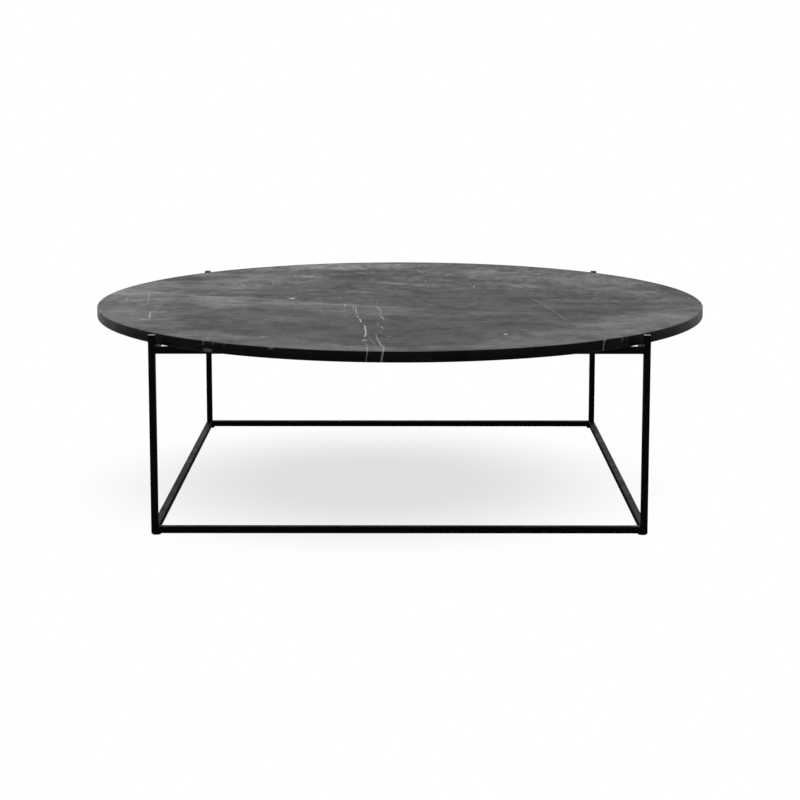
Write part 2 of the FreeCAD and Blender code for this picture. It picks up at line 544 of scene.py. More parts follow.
# Pale drifts laid on the face's colour: partly the stone's own cloudy tone, partly painted sheen near the rim
# and towards the rear
PALE_DRIFTS_AND_SHEEN = (
    # Painted sheen: pale wash round the left, the front and the right rim
    Vein((-0.440, 0.330), (-0.400, -0.340), 0.1600, 0.85, 0.0, 0.25, ((0.5, -0.060),)),
    Vein((-0.470, -0.150), (0.080, -0.500), 0.0500, 0.62, 0.0, 0.20, ((0.3, -0.080), (0.7, -0.075))),
    Vein((0.020, -0.480), (0.500, -0.020), 0.0880, 0.75, 0.0, 0.28, ((0.30, -0.070), (0.70, -0.075))),
    Vein((0.340, 0.160), (0.480, -0.060), 0.0900, 0.40, 0.0, 0.35),
    # Rear rim and rear left, as painted sheen lighter towards the rear
    Vein((-0.300, 0.400), (0.100, 0.455), 0.0750, 0.95, 0.0, 0.35),
    Vein((0.020, 0.430), (0.480, 0.040), 0.1700, 0.34, 0.0, 0.25, ((0.5, 0.050),)),
    Vein((-0.420, 0.280), (-0.080, 0.120), 0.1900, 0.42, 0.0, 0.35),
    Vein((-0.410, 0.150), (-0.180, 0.150), 0.0800, 0.62, 0.0, 0.35),
    # Under the long hairline
    Vein((-0.470, 0.060), (0.130, -0.175), 0.0850, 0.75, 0.0, 0.35, ((0.5, -0.020),)),
    Vein((-0.400, -0.160), (-0.060, -0.200), 0.1000, 0.32, 0.0, 0.35),
    Vein((-0.210, -0.120), (-0.020, -0.160), 0.0600, 0.50, 0.0, 0.35),
    # Soft patches
    Vein((-0.330, 0.352), (-0.130, 0.455), 0.0360, 0.60, 0.0, 0.30),
    Vein((-0.400, 0.300), (-0.310, 0.330), 0.0500, 0.60, 0.0, 0.40),
    Vein((-0.360, 0.082), (-0.220, 0.076), 0.0350, 0.50, 0.0, 0.35),
    Vein((-0.225, 0.204), (-0.165, 0.208), 0.0350, 0.40, 0.0, 0.40),
    Vein((0.040, 0.325), (0.110, 0.310), 0.0350, 0.60, 0.0, 0.40),
    Vein((0.180, 0.215), (0.300, 0.070), 0.0400, 0.40, 0.0, 0.40),
    Vein((-0.150, -0.240), (-0.030, -0.250), 0.0380, 0.45, 0.0, 0.40),
    Vein((-0.370, -0.200), (-0.325, -0.380), 0.0450, 0.50, 0.0, 0.35),
    Vein((0.020, -0.466), (0.090, -0.470), 0.0250, 0.55, 0.0, 0.40),
    Vein((0.390, -0.060), (0.480, 0.100), 0.0450, 0.30, 0.0, 0.40),
    # Streaks of the swirl
    Vein((-0.296, 0.065), (-0.230, 0.330), 0.0240, 0.55, 0.1, 0.25, ((0.5, 0.026),)),
    Vein((-0.259, 0.201), (-0.150, 0.176), 0.0220, 0.60, 0.1, 0.30, SWIRL_COURSE),
    Vein((-0.230, 0.110), (-0.020, 0.060), 0.0300, 0.40, 0.1, 0.30, ((0.5, 0.020),)),
    Vein((-0.095, 0.230), (0.130, 0.136), 0.0200, 0.50, 0.1, 0.30, ((0.5, 0.008),)),
)


@dataclass(frozen=True)
class VeinPen:
    """Draws veins and drifts into a material.

    It reads the place in plan, the depth under the face, and a noise that breaks and thins lines.
    """

    board: Board
    effects: Effects
    plan: Socket
    depth: Socket
    wear: Socket
    band_core_share: float = 0.3

    def drawn(self, veins: tuple[Vein, ...], core: float) -> Socket:
        """Mask of several veins, each at full strength over the core share of its width."""
        return self.board.highest(self.mask(vein, core) for vein in veins)

    def mask(self, vein: Vein, core: float) -> Socket:
        """Mask of one vein.

        Args:
            vein: The vein to draw.
            core: Share of its width that is at full strength.

        Returns:
            The mask, from 0 to the vein's strength.
        """
        board = self.board
        feeds = {"Position": self.plan, "Start": (*vein.start, 0.0), "End": (*vein.end, 0.0)}
        way = board.group(self.effects.vein_course, feeds)
        feeds = {"Along": way["Along"], "Across": way["Across"], "Width": vein.width, "Core": core,
                 "Strength": vein.strength, "Broken": vein.broken, "Wear": self.wear, "Fade": vein.fade}
        if vein.course:
            feeds |= self.swayed(vein.course, way["Along"])
        mask = board.group(self.effects.vein_mark, feeds)["Mask"]
        if vein.band:
            level, half = vein.band
            off_level = board.math("ABSOLUTE", board.math("SUBTRACT", self.depth, level))
            mask = board.times(mask, board.span(off_level, half * self.band_core_share, half, 1.0, 0.0))
        return mask

    def swayed(self, course: tuple[Point, ...], along: Socket) -> Feeds:
        """Way of a vein to the left and right of its straight line.

        Args:
            course: Points of the way.
            along: Share of the way that a point has come.

        Returns:
            What the vein's mark takes for it.
        """
        sway = max(abs(aside) for _, aside in course)
        curve = self.board.add("ShaderNodeFloatCurve", {"Value": along})
        points = curve.mapping.curves[0].points
        points[0].location = (0.0, 0.5)
        points[1].location = (1.0, 0.5)
        for share, aside in course:
            points.new(share, 0.5 + aside / sway / 2)
        curve.mapping.update()
        return {"Course": curve.outputs[0], "Sway": sway}


@dataclass(frozen=True)
class HairlineNet:
    """Random net of hairlines, with cells per metre and a width in cells, that shows in patches."""

    cells: float
    width: float
    patches: Cloud
    strength: float


@dataclass(frozen=True)
class HonedStone:
    """Honed black marble with pale veins, painted sheen on its face, painted shade on its edge and a painted
    highlight on its lower arris.

    Shades and gloss come first, then levels and lengths in metres, then spans of the noises with
    the shares that they give, and the make-up of the noises.
    """

    name: str = "honed_black_marble"
    deep: float = 0.0030
    pale: float = 0.0190
    vein: float = 0.45
    # Shade of the pale drifts, which are partly painted sheen
    drift_and_sheen_shade: float = 0.040
    drift_and_sheen_core: float = 0.25
    # Share of the face's colour left on the edge, as painted shade
    painted_edge_shade: float = 0.55
    # Shade of the painted highlight on the lower arris
    arris_highlight_shade: float = 0.085
    ior: float = 1.136
    roughnesses: Span = (0.49, 0.33)
    roughness_drift: float = 0.12
    lean: float = 0.15
    face_level: float = STONE_HIGH.z
    under_level: float = STONE_LOW.z
    face_depths: Span = (0.0012, 0.0001)
    arris_highlight_rises: Span = (0.0003, 0.0013)
    arris_highlight_foot: float = 0.0001
    tooth_depth: float = 0.00004
    ground_tones: Span = (0.34, 0.70)
    gloss_tones: Span = (0.35, 0.66)
    drift_and_sheen_tones: Span = (0.30, 0.70)
    drift_shares: Span = (0.35, 1.45)
    arris_wear: Span = (0.35, 0.65)
    arris_shares: Span = (0.3, 1.0)
    wear: Cloud = Cloud(42.0, 3.0, 0.6)
    tooth: Cloud = Cloud(1200.0, 2.0)
    quivers: tuple[tuple[Cloud, float], ...] = (
        (Cloud(8.0, 2.0), 0.010), (Cloud(22.0, 2.0), 0.004),
        (Cloud(75.0, 2.0), 0.0045), (Cloud(240.0, 2.0), 0.0022))
    bedding_deg: float = 23.0
    bedding_squeeze: Triple = (1.0, 2.2, 1.0)
    bedding_bend: Cloud = Cloud(4.0, 3.0)
    bedding_bend_reach: float = 0.30
    streaks: Cloud = Cloud(7.0, 9.0, 0.66, 0.5)
    streak_share: float = 0.50
    streak_base: float = 0.25
    mottle: Cloud = Cloud(48.0, 4.0, 0.62, 0.9)
    mottle_squeeze: Triple = (1.0, 0.6, 1.0)
    mottle_way: Triple = (0.45, 0.90, 0.0)
    mottle_reach: Span = (-0.10, 0.36)
    mottle_shares: Span = (0.22, 0.46)
    hairline_bend: Cloud = Cloud(3.0, 2.0)
    hairline_bend_reach: float = 0.18
    hairline_patches: Span = (0.52, 0.66)
    hairline_nets: tuple[HairlineNet, ...] = (
        HairlineNet(3.4, 0.008, Cloud(2.2, 2.0), 0.10), HairlineNet(7.5, 0.012, Cloud(3.5, 2.0), 0.08))
    veins: tuple[Vein, ...] = VEINS
    drifts_and_sheen: tuple[Vein, ...] = PALE_DRIFTS_AND_SHEEN

    def material(self, effects: Effects) -> bpy.types.Material:
        """Builds the finish, each node after those that feed it, so that few values wait at once.

        Args:
            effects: Shared shader groups.

        Returns:
            The material.
        """
        material, board, shader = new_material(self.name)
        position = object_position(board)
        height = board.part(position, "Z")
        on_face = board.span(height, *(self.face_level - depth for depth in self.face_depths))
        depth = board.math("SUBTRACT", self.face_level, height)
        plan = self.leaned_plan(board, position, depth)
        pen = VeinPen(board, effects, plan, depth, board.cloud(position, self.wear))
        lines = board.math("MAXIMUM", pen.drawn(self.veins, 0.0), self.hairlines(board, position))
        # Drifts on the face only, partly pale tone and partly painted sheen, added to the base colour below
        drifts_and_sheen = board.times(pen.drawn(self.drifts_and_sheen, self.drift_and_sheen_core), on_face)
        tone = self.tone(board, position)
        ground = board.span(tone, *self.ground_tones, self.deep, self.pale)
        # Painted shade: the edge's colour is darkened against the face's
        ground = board.times(ground, board.span(on_face, 0.0, 1.0, self.painted_edge_shade, 1.0))
        drifts_and_sheen = board.times(drifts_and_sheen, board.span(tone, *self.drift_and_sheen_tones, *self.drift_shares))
        ground = board.math("ADD", ground, board.times(drifts_and_sheen, self.drift_and_sheen_shade))
        # Painted highlight along the lower arris, laid over the ground
        ground = board.math("MAXIMUM", ground, self.lower_arris_highlight(board, height, pen.wear))
        colour = board.math("MAXIMUM", ground, board.times(lines, self.vein))
        roughness = board.span(tone, *self.gloss_tones, *self.roughnesses)
        roughness = board.math("SUBTRACT", roughness, board.times(drifts_and_sheen, self.roughness_drift))
        feeds = {"Height": board.cloud(position, self.tooth), "Distance": self.tooth_depth, "Strength": 1.0}
        bump = board.first("ShaderNodeBump", feeds)
        board.fill(shader, {"Base Color": colour, "Roughness": roughness, "IOR": self.ior, "Normal": bump})
        return material

    def leaned_plan(self, board: Board, position: Socket, depth: Socket) -> Socket:
        """Place in plan, shaken a little, with the veins leaning as they go down into the stone.

        Args:
            board: Board of the material.
            position: Place in the table's frame.
            depth: Depth under the face.

        Returns:
            The place in plan.
        """
        leaning = board.combine(board.times(depth, self.lean))
        flat = board.vector("MULTIPLY", position, IN_PLAN)
        plan = board.vector("ADD", flat, leaning)
        for cloud, reach in self.quivers:
            step = board.vector("MULTIPLY", board.shaken(flat, cloud), (reach, reach, 0.0))
            plan = board.vector("ADD", plan, step)
        return plan

    def tone(self, board: Board, position: Socket) -> Socket:
        """Cloudy tone of the stone's ground: bent streaks along its bedding, and a fine mottle.

        Args:
            board: Board of the material.
            position: Where to read it.

        Returns:
            Tone around 0.5, higher where the stone is paler.
        """
        feeds = {"Vector": position, "Rotation": (0.0, 0.0, math.radians(self.bedding_deg)),
                 "Scale": self.bedding_squeeze}
        turned = board.first("ShaderNodeMapping", feeds)
        bend = board.scaled(board.shaken(position, self.bedding_bend), self.bedding_bend_reach)
        streaks = board.cloud(board.vector("ADD", turned, bend), self.streaks)
        curled = board.vector("MULTIPLY", position, self.mottle_squeeze)
        mottle = board.math("SUBTRACT", board.cloud(curled, self.mottle), 0.5)
        rearward = board.measure("DOT_PRODUCT", position, self.mottle_way)
        mottle = board.times(mottle, board.span(rearward, *self.mottle_reach, *self.mottle_shares))
        streaks = board.math("ADD", board.times(streaks, self.streak_share), self.streak_base)
        return board.math("ADD", streaks, mottle)

    def lower_arris_highlight(self, board: Board, height: Socket, wear: Socket) -> Socket:
        """Painted highlight along the lower arris, thinned unevenly by noise.

        Args:
            board: Board of the material.
            height: Height of the point.
            wear: Noise that thins the line.

        Returns:
            Shade of the painted highlight.
        """
        low, high = (self.under_level + rise for rise in self.arris_highlight_rises)
        line = board.span(height, low, high, self.arris_highlight_shade, 0.0)
        line = board.times(line, board.span(height, self.under_level, self.under_level + self.arris_highlight_foot))
        return board.times(line, board.span(wear, *self.arris_wear, *self.arris_shares))

    def hairlines(self, board: Board, position: Socket) -> Socket:
        """Random nets of broken hairlines.

        Args:
            board: Board of the material.
            position: Where to read them.

        Returns:
            Mask of the lines.
        """
        bend = board.scaled(board.shaken(position, self.hairline_bend), self.hairline_bend_reach)
        bent = board.vector("ADD", position, bend)
        return board.highest(self.hairline_mask(board, position, bent, net) for net in self.hairline_nets)

    def hairline_mask(self, board: Board, position: Socket, bent: Socket, net: HairlineNet) -> Socket:
        """Mask of one net of hairlines.

        Args:
            board: Board of the material.
            position: Where to read its patches.
            bent: Where to read its lines.
            net: The net.

        Returns:
            Its mask.
        """
        feeds = {"Vector": bent, "Scale": net.cells}
        cells = board.add("ShaderNodeTexVoronoi", feeds, feature="DISTANCE_TO_EDGE")
        line = board.span(cells.outputs["Distance"], 0.0, net.width, 1.0, 0.0)
        patches = board.cloud(position, net.patches)
        return board.times(line, board.span(patches, *self.hairline_patches, 0.0, net.strength))


SLEEK_TIP_HEIGHT = 0.0002
POWDER_COAT = GrainedFinish(
    name="black_powder_coat", shades=(0.0005, 0.0011), roughnesses=(0.42, 0.54), ior=1.15,
    grains=900.0, grain_depth=0.0000025, sleek_above=LEG_HIGH.z - SLEEK_TIP_HEIGHT)
PAD_RUBBER = GrainedFinish(
    name="black_pad_rubber", shades=(0.0030, 0.0050), roughnesses=(0.70, 0.82), ior=1.15,
    grains=800.0, grain_depth=0.000012)


# Geometry trees

class ShapeTree(Tree):
    """A geometry tree for one kind of piece."""

    merge_reach: float = 0.000002
    square_limit: float = 0.999995
    round_steps: int = 6

    def __init__(self, name: str) -> None:
        """Starts an empty geometry tree."""
        super().__init__(name, "GeometryNodeTree")

    def place(self) -> Socket:
        """Place of each point."""
        return self.first("GeometryNodeInputPosition")

    def index(self) -> Socket:
        """Index of each point."""
        return self.first("GeometryNodeInputIndex")

    def indexed(self, values: list[Feed], kind: str) -> Socket:
        """Picks a value by the index of the point.

        Args:
            values: One value for each point.
            kind: FLOAT or VECTOR.

        Returns:
            The picked value.
        """
        switch = self.add("GeometryNodeIndexSwitch", data_type=kind)
        while len(switch.index_switch_items) < len(values):
            switch.index_switch_items.new()
        self.fill(switch, {"Index": self.index(), **dict(enumerate(values, 1))})
        return switch.outputs[0]

    def quarter_turn(self, steps: int) -> Socket:
        """Angle that stays 0 up to the second of the points and is a quarter turn at the last."""
        turned = self.math("MAXIMUM", self.math("SUBTRACT", self.index(), 1.0), 0.0)
        return self.times(turned, math.pi / 2 / (steps - 2))

    def path(self, count: int, place: Socket) -> Socket:
        """Open curve of straight runs.

        Args:
            count: Number of its points.
            place: Place of each point.

        Returns:
            The curve.
        """
        line = self.first("GeometryNodeMeshLine", {"Count": count})
        placed = self.first("GeometryNodeSetPosition", {"Geometry": line, "Position": place})
        return self.first("GeometryNodeMeshToCurve", {"Mesh": placed})

    def rounded(self, outline: Socket, radius: Socket, limit: bool = False) -> Socket:
        """Outline with rounded corners, their radius limited by its runs if limit is set."""
        feeds = {"Curve": outline, "Count": self.round_steps, "Radius": radius, "Limit Radius": limit}
        return self.first("GeometryNodeFilletCurve", feeds, mode="POLY")

    def merged(self, mesh: Socket) -> Socket:
        """Mesh with its doubled points merged."""
        return self.first("GeometryNodeMergeByDistance", {"Geometry": mesh, "Distance": self.merge_reach})

    def finish(self, geometry: Socket, material: Socket) -> bpy.types.NodeTree:
        """Ends the tree in real faces with a material, smoothly shaded where they are rounded.

        Args:
            geometry: What the tree made.
            material: Material input.

        Returns:
            The finished tree.
        """
        real = self.first("GeometryNodeRealizeInstances", {"Geometry": geometry})
        facing = self.vector("ABSOLUTE", self.first("GeometryNodeInputNormal"))
        squarest = self.highest(self.part(facing, axis) for axis in "XYZ")
        rounded = self.math("LESS_THAN", squarest, self.square_limit)
        smooth = self.first("GeometryNodeSetShadeSmooth", {"Geometry": real, "Shade Smooth": rounded})
        dressed = self.first("GeometryNodeSetMaterial", {"Geometry": smooth, "Material": material})
        self.give("Geometry", dressed, "Geometry")
        return self.tree


def turned_disc_tree() -> bpy.types.NodeTree:
    """Disc turned about its axis, with rounded rims, one at each point of the input.

    Each point marks the centre of a disc's upper face.

    Returns:
        The tree.
    """
    tree = ShapeTree("turned_discs")
    seats = tree.take("Geometry", "Geometry")
    radius, thickness, ring = tree.numbers("Radius", "Thickness", "Flat Ring")
    upper, lower, wander = tree.numbers("Upper Ease", "Lower Ease", "Arris Wander")
    segments = tree.take("Segments", "Int")
    material = tree.take("Material", "Material")
    across = [tree.times(radius, -1.0), tree.times(ring, -1.0), 0.0]
    corners = [tree.combine(x) for x in across] + [tree.combine(x, thickness) for x in reversed(across)]
    outline = tree.path(len(corners), tree.indexed(corners, "VECTOR"))
    eases = tree.indexed([0.0, 0.0, upper, lower, 0.0, 0.0], "FLOAT")
    section = tree.rounded(outline, eases, True)
    circle = tree.first("GeometryNodeCurvePrimitiveCircle", {"Resolution": segments, "Radius": radius})
    swept = tree.first("GeometryNodeCurveToMesh", {"Curve": circle, "Profile Curve": section})
    whole = tree.merged(closed_poles(tree, swept, radius))
    wandered = wandered_arris(tree, whole, radius, upper, wander)
    discs = tree.first("GeometryNodeInstanceOnPoints", {"Points": seats, "Instance": wandered})
    return tree.finish(discs, material)


def closed_poles(tree: ShapeTree, disc: Socket, radius: Socket) -> Socket:
    """Draws the innermost points of a turned disc in to its axis, so that they can be merged.

    Args:
        tree: Geometry tree.
        disc: Disc to work on.
        radius: Its radius.

    Returns:
        The disc with its innermost points on the axis.
    """
    pole_share = 0.01
    place = tree.place()
    reach = tree.measure("LENGTH", tree.vector("MULTIPLY", place, IN_PLAN))
    at_pole = tree.math("LESS_THAN", reach, tree.times(radius, pole_share))
    pole = tree.vector("MULTIPLY", place, UP)
    return tree.first("GeometryNodeSetPosition", {"Geometry": disc, "Selection": at_pole, "Position": pole})


def wandered_arris(tree: ShapeTree, disc: Socket, radius: Socket, upper: Socket, amount: Socket) -> Socket:
    """Lets the upper rim of a disc wander a little, as a hand-eased arris does.

    Args:
        tree: Geometry tree.
        disc: Disc to work on.
        radius: Its radius.
        upper: Radius of its upper ease.
        amount: Twice the most that a point moves inward.

    Returns:
        The disc with its upper arris moved.
    """
    arris_share = 0.98
    cloud = Cloud(60.0, 4.0)
    place = tree.place()
    flat = tree.vector("MULTIPLY", place, IN_PLAN)
    reach = tree.measure("LENGTH", flat)
    depth = tree.times(tree.part(place, "Z"), -1.0)
    eased = tree.times(upper, arris_share)
    near_rim = tree.math("GREATER_THAN", reach, tree.math("SUBTRACT", radius, eased))
    near_top = tree.math("LESS_THAN", depth, eased)
    wander = tree.math("ABSOLUTE", tree.math("SUBTRACT", tree.cloud(place, cloud), 0.5))
    step = tree.times(wander, amount, near_rim, near_top, -1.0)
    shift = tree.scaled(tree.vector("NORMALIZE", flat), step)
    return tree.first("GeometryNodeSetPosition", {"Geometry": disc, "Offset": shift})


def square_bar_tree() -> bpy.types.NodeTree:
    """Square bar with rounded edges between two points, its far end eased.

    Returns:
        The tree.
    """
    tree = ShapeTree("square_bar")
    start = tree.take("Start", "Vector")
    end = tree.take("End", "Vector")
    side, edge, ease = tree.numbers("Side", "Edge Round", "Tip Ease")
    material = tree.take("Material", "Material")
    steps = 6
    run = tree.vector("SUBTRACT", end, start)
    angle = tree.quarter_turn(steps)
    rise = tree.times(tree.math("SINE", angle), ease)
    reach = tree.math("ADD", tree.math("SUBTRACT", tree.measure("LENGTH", run), ease), rise)
    travelled = tree.times(reach, tree.math("GREATER_THAN", tree.index(), 0.5))
    offset = tree.scaled(tree.vector("NORMALIZE", run), travelled)
    path = tree.path(steps, tree.vector("ADD", start, offset))
    draw_in = tree.math("SUBTRACT", 1.0, tree.math("COSINE", angle))
    ease_share = tree.math("DIVIDE", tree.times(ease, 2.0), side)
    scale = tree.math("SUBTRACT", 1.0, tree.times(draw_in, ease_share))
    square = tree.first("GeometryNodeCurvePrimitiveQuadrilateral", {"Width": side, "Height": side})
    section = tree.rounded(square, edge)
    feeds = {"Curve": path, "Profile Curve": section, "Scale": scale, "Fill Caps": True}
    return tree.finish(tree.merged(tree.first("GeometryNodeCurveToMesh", feeds)), material)


def weld_tree() -> bpy.types.NodeTree:
    """Small hollow-faced weld in the corner between two bars, one at each point of the input.

    Each point lies in the corner and carries the weld's turn about Z and about the rail.

    Returns:
        The tree.
    """
    tree = ShapeTree("dressed_welds")
    corners = tree.take("Geometry", "Geometry")
    size, run = tree.numbers("Leg Length", "Run")
    material = tree.take("Material", "Material")
    steps = 7
    angle = tree.quarter_turn(steps)
    off_corner = tree.math("GREATER_THAN", tree.index(), 0.5)
    along, rise = (tree.times(tree.math("SUBTRACT", 1.0, tree.math(turn, angle)), off_corner, size)
                   for turn in ("SINE", "COSINE"))
    outline = tree.path(steps, tree.combine(along, rise))
    closed = tree.first("GeometryNodeSetSplineCyclic", {"Geometry": outline, "Cyclic": True})
    ends = {"Start": tree.combine(0.0, tree.times(run, -0.5)), "End": tree.combine(0.0, tree.times(run, 0.5))}
    path = tree.first("GeometryNodeCurvePrimitiveLine", ends)
    bead = tree.first("GeometryNodeCurveToMesh", {"Curve": path, "Profile Curve": closed, "Fill Caps": True})
    about_rail, about_z = (tree.first("GeometryNodeInputNamedAttribute", {"Name": name}, data_type="FLOAT")
                           for name in ("about_rail", "about_z"))
    turn = tree.first("FunctionNodeEulerToRotation", {0: tree.combine(about_rail, 0.0, about_z)})
    feeds = {"Points": corners, "Instance": bead, "Rotation": turn}
    return tree.finish(tree.first("GeometryNodeInstanceOnPoints", feeds), material)


@dataclass(frozen=True)
class Trees:
    """Geometry trees that the sub-assemblies share."""

    disc: bpy.types.NodeTree = field(default_factory=turned_disc_tree)
    bar: bpy.types.NodeTree = field(default_factory=square_bar_tree)
    weld: bpy.types.NodeTree = field(default_factory=weld_tree)


# Pieces

def new_object(name: str, data: bpy.types.ID) -> bpy.types.Object:
    """Adds an object to the scene.

    Args:
        name: Its name.
        data: Its mesh, light or camera.

    Returns:
        The object.
    """
    added = bpy.data.objects.new(name, data)
    bpy.context.scene.collection.objects.link(added)
    return added


def piece_from_tree(name: str, tree: bpy.types.NodeTree, inputs: dict[str, object],
                    seats: list[Vector] | None = None,
                    facing: dict[str, list[float]] | None = None) -> bpy.types.Object:
    """Runs a geometry tree once and keeps its result as a plain mesh.

    Args:
        name: Name of the piece.
        tree: Tree to run.
        inputs: Input name to value.
        seats: Points for the tree's input geometry.
        facing: Attribute name to one value for each seat.

    Returns:
        The piece.
    """
    scaffold = bpy.data.meshes.new(f"{name}_seats")
    scaffold.from_pydata([tuple(seat) for seat in seats or []], [], [])
    for attribute, values in (facing or {}).items():
        scaffold.attributes.new(attribute, "FLOAT", "POINT").data.foreach_set("value", values)
    piece = new_object(name, scaffold)
    modifier = piece.modifiers.new("shape", "NODES")
    sockets = {item.name: item.identifier for item in tree.interface.items_tree if item.in_out == "INPUT"}
    modifier.node_group = tree
    for key, value in inputs.items():
        modifier[sockets[key]] = value
    piece.update_tag()
    bpy.context.view_layer.update()
    depsgraph = bpy.context.evaluated_depsgraph_get()
    mesh = bpy.data.meshes.new_from_object(piece.evaluated_get(depsgraph))
    piece.modifiers.remove(modifier)
    piece.data = mesh
    bpy.data.meshes.remove(scaffold)
    mesh.name = name
    mesh.materials.clear()
    mesh.materials.append(inputs["Material"])
    return piece


def seat_piece(piece: bpy.types.Object, body: Body, slot: Slot, *nodes: str) -> bpy.types.Object:
    """Puts a finished piece on its body in place of its CAD nodes.

    Args:
        piece: The piece.
        body: Body that it moves with.
        slot: Material slot of the record; not used.
        nodes: CAD nodes that it stands for.

    Returns:
        The piece.
    """
    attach(piece, body.value)
    if nodes:
        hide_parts(*nodes)
    LOG.info("%s: %d faces on %s", piece.name, len(piece.data.polygons), body.value)
    return piece


def bumper_nodes() -> tuple[str, ...]:
    """Names of the bumpers under the stone."""
    pairs = SIDE_PAIRS + [(b, a) for a, b in SIDE_PAIRS]
    return tuple(f"bumper_{rail.word}_rail_{end.word}" for rail, end in pairs)


def corner_nodes(kind: str) -> tuple[str, ...]:
    """Names of the legs or feet at the four corners."""
    return tuple(f"{kind}_{row.word}_{column.word}" for row, column in SIDE_PAIRS)


# Sub-assemblies

@dataclass
class TurnedDiscs:
    """A set of alike turned discs, each in the place of its node."""

    name: str
    nodes: tuple[str, ...]
    body: Body
    slot: Slot
    upper_ease: float
    lower_ease: float
    flat_ring: float
    segments: int = 40
    arris_wander: float = 0.0

    def build(self, trees: Trees, material: bpy.types.Material) -> bpy.types.Object:
        """Builds and dresses the set.

        Args:
            trees: Geometry trees.
            material: Its finish.

        Returns:
            One piece with all the discs.
        """
        boxes = [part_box(node) for node in self.nodes]
        low, high = boxes[0]
        seats = [Vector(((a.x + b.x) / 2, (a.y + b.y) / 2, b.z)) for a, b in boxes]
        inputs = {
            "Radius": (high.x - low.x) / 2, "Thickness": high.z - low.z, "Upper Ease": self.upper_ease,
            "Lower Ease": self.lower_ease, "Flat Ring": self.flat_ring, "Segments": self.segments,
            "Arris Wander": self.arris_wander, "Material": material,
        }
        piece = piece_from_tree(self.name, trees.disc, inputs, seats)
        return seat_piece(piece, self.body, self.slot, *self.nodes)


@dataclass
class StoneDisc(TurnedDiscs):
    """The loose stone with its eased arrises."""

    name: str = "stone_disc"
    nodes: tuple[str, ...] = (STONE_NODE,)
    body: Body = Body.STONE
    slot: Slot = Slot.STONE
    upper_ease: float = 0.0012
    lower_ease: float = 0.0014
    flat_ring: float = 0.004
    segments: int = 720
    arris_wander: float = 0.0006


@dataclass
class ClearBumpers(TurnedDiscs):
    """Clear discs on the top rails that the stone lies on."""

    name: str = "clear_bumpers"
    nodes: tuple[str, ...] = bumper_nodes()
    body: Body = Body.CAGE
    slot: Slot = Slot.BUMPER
    upper_ease: float = 0.0003
    lower_ease: float = 0.0003
    flat_ring: float = 0.0008


@dataclass
class FootPads(TurnedDiscs):
    """Rubber pads under the corners of the cage."""

    name: str = "foot_pads"
    nodes: tuple[str, ...] = corner_nodes("foot")
    body: Body = Body.CAGE
    slot: Slot = Slot.PAD
    upper_ease: float = 0.0007
    lower_ease: float = 0.0007
    flat_ring: float = 0.0016


@dataclass
class BarCage:
    """Legs and rails of square bar, and the dressed welds where they meet."""

    edge_round: float = 0.0006
    tip_ease: float = 0.0004
    weld_leg: float = 0.0011

    def build(self, trees: Trees, material: bpy.types.Material) -> list[bpy.types.Object]:
        """Builds and dresses the cage.

        Args:
            trees: Geometry trees.
            material: Its finish.

        Returns:
            Its pieces.
        """
        legs = [self.bar(trees, material, node, Vector(UP), self.tip_ease) for node in corner_nodes("leg")]
        rails = [self.bar(trees, material, node, along, 0.0) for _, node, along in self.rails()]
        return [*legs, *rails, self.welds(trees, material)]

    @staticmethod
    def rails() -> Iterator[tuple[Ring, str, Vector]]:
        """Ring, node and direction of each rail."""
        return ((ring, f"{ring.value}_rail_{side.word}", side.along) for ring in Ring for side in Side)

    def bar(self, trees: Trees, material: bpy.types.Material, node: str, along: Vector,
            tip_ease: float) -> bpy.types.Object:
        """One bar in the place of its node.

        Args:
            trees: Geometry trees.
            material: Its finish.
            node: CAD node that it stands for.
            along: Direction of the bar.
            tip_ease: Radius of the ease at the far end.

        Returns:
            The piece.
        """
        low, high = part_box(node)
        middle = (low + high) / 2
        half_run = along * ((high - low).dot(along) / 2)
        across = Vector((1, 1, 1)) - along
        side = max((high - low) * across)
        inputs = {
            "Start": middle - half_run, "End": middle + half_run, "Side": side,
            "Edge Round": self.edge_round, "Tip Ease": tip_ease, "Material": material,
        }
        piece = piece_from_tree(f"bar_{node}", trees.bar, inputs)
        return seat_piece(piece, Body.CAGE, Slot.COAT, node)

    def welds(self, trees: Trees, material: bpy.types.Material) -> bpy.types.Object:
        """Dressed welds above each rail where it meets a leg, and below those of the top ring.

        Args:
            trees: Geometry trees.
            material: Their finish.

        Returns:
            One piece with all the welds.
        """
        seats: list[Vector] = []
        facing: dict[str, list[float]] = {"about_z": [], "about_rail": []}
        for ring, node, along in self.rails():
            low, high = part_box(node)
            middle = (low + high) / 2
            faces = ((high.z, 0.0), (low.z, math.pi)) if ring is Ring.TOP else ((high.z, 0.0),)
            for end in (-1, 1):
                corner = middle + along * (end * (high - low).dot(along) / 2)
                inward = along * -end
                for level, turn in faces:
                    seats.append(Vector((corner.x, corner.y, level)))
                    facing["about_z"].append(math.atan2(inward.y, inward.x))
                    facing["about_rail"].append(turn)
        run = LEG_HIGH.x - LEG_LOW.x - self.edge_round * 2
        inputs = {"Leg Length": self.weld_leg, "Run": run, "Material": material}
        piece = piece_from_tree("dressed_welds", trees.weld, inputs, seats, facing)
        return seat_piece(piece, Body.CAGE, Slot.COAT)


# Studio

